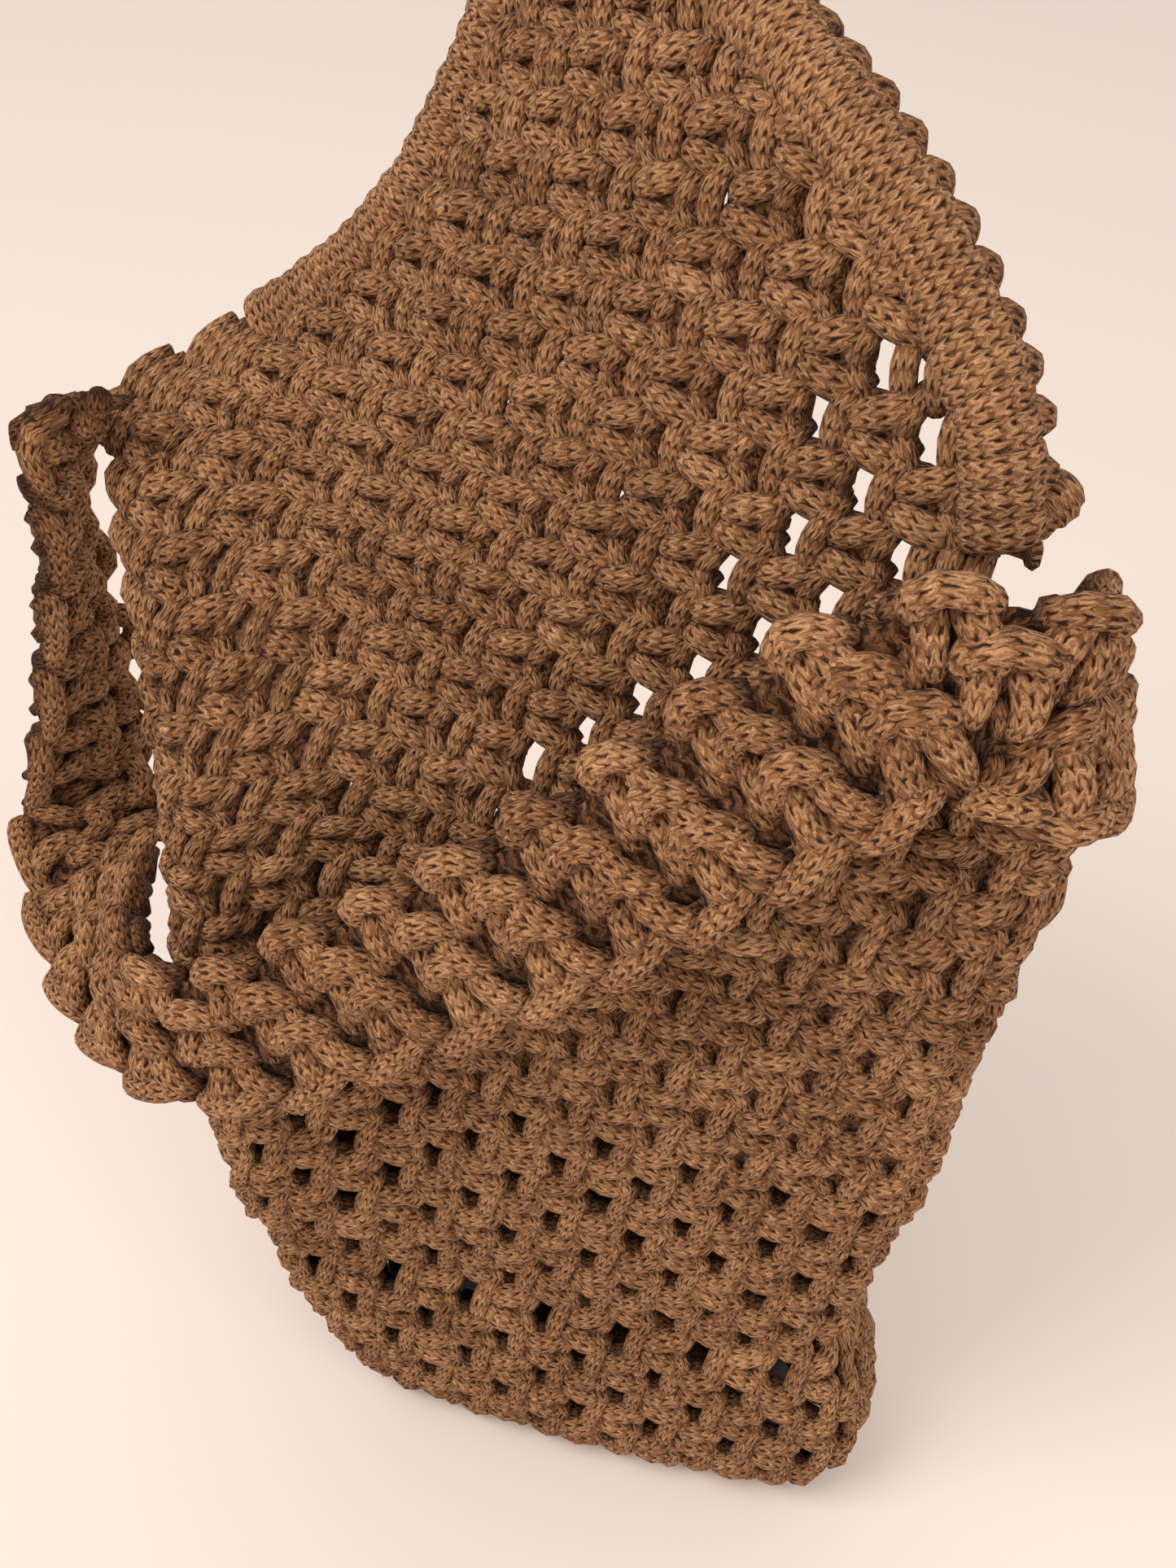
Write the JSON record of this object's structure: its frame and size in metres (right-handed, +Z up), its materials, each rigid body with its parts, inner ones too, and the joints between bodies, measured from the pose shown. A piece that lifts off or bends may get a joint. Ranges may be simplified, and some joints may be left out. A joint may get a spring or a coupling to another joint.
{
  "type": "macrame shoulder bag",
  "caption": "Hand-knotted shoulder bag: a soft pouch of open square knotting, with a raised pointed flap, a cord-wound edge and a knotted strap looped across it",
  "frame": {"origin": "on the floor, at the middle of the flat bottom of the pouch", "axes": "+Z up along the height of the bag, back wall facing -Y, mouth and open side toward +Y, the bag's width along X"},
  "size_m": [0.2472, 0.1342, 0.3714],
  "materials": {
    "back_panel": "knotted cord",
    "flap_panel": "knotted cord",
    "flap_rim": "wound cord",
    "rim_end": "knotted cord",
    "front_panel": "knotted cord",
    "base_panel": "knotted cord",
    "shoulder_strap": "knotted cord"
  },
  "bodies": {
    "root": {"back_panel": "back_panel", "flap_panel": "flap_panel", "flap_rim": "flap_rim", "rim_end": "rim_end", "front_panel": "front_panel", "base_panel": "base_panel", "shoulder_strap": "shoulder_strap"}
  },
  "joints": []
}
